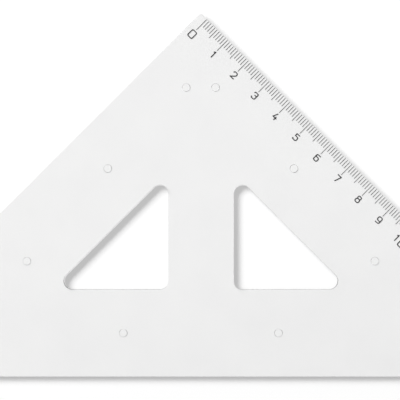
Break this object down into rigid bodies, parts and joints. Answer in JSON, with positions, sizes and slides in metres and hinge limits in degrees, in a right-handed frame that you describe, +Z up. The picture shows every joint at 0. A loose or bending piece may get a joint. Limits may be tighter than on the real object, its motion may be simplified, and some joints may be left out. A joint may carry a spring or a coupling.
{
  "type": "drafting triangle",
  "caption": "Clear flat right-angled triangle with triangular finger cut-outs and a centimetre scale printed along a leg, for ruling lines and measuring lengths.",
  "frame": {"origin": "on the drawing surface, below the middle of the triangle's box", "axes": "+X along the long side, +Y towards the right-angle corner, +Z up out of the drawing surface"},
  "size_m": [0.2452, 0.1236, 0.0021],
  "materials": {
    "clear_plastic": "clear polished polystyrene",
    "black_ink": "printed black ink"
  },
  "bodies": {
    "root": {"plate": "clear_plastic", "millimetre_ticks": "black_ink", "half_centimetre_ticks": "black_ink", "centimetre_ticks": "black_ink", "numeral_0": "black_ink", "numeral_1": "black_ink", "numeral_2": "black_ink", "numeral_3": "black_ink", "numeral_4": "black_ink", "numeral_5": "black_ink", "numeral_6": "black_ink", "numeral_7": "black_ink", "numeral_8": "black_ink", "numeral_9": "black_ink", "numeral_10": "black_ink", "numeral_11": "black_ink", "numeral_12": "black_ink", "numeral_13": "black_ink", "numeral_14": "black_ink", "numeral_15": "black_ink", "numeral_16": "black_ink"}
  },
  "joints": []
}
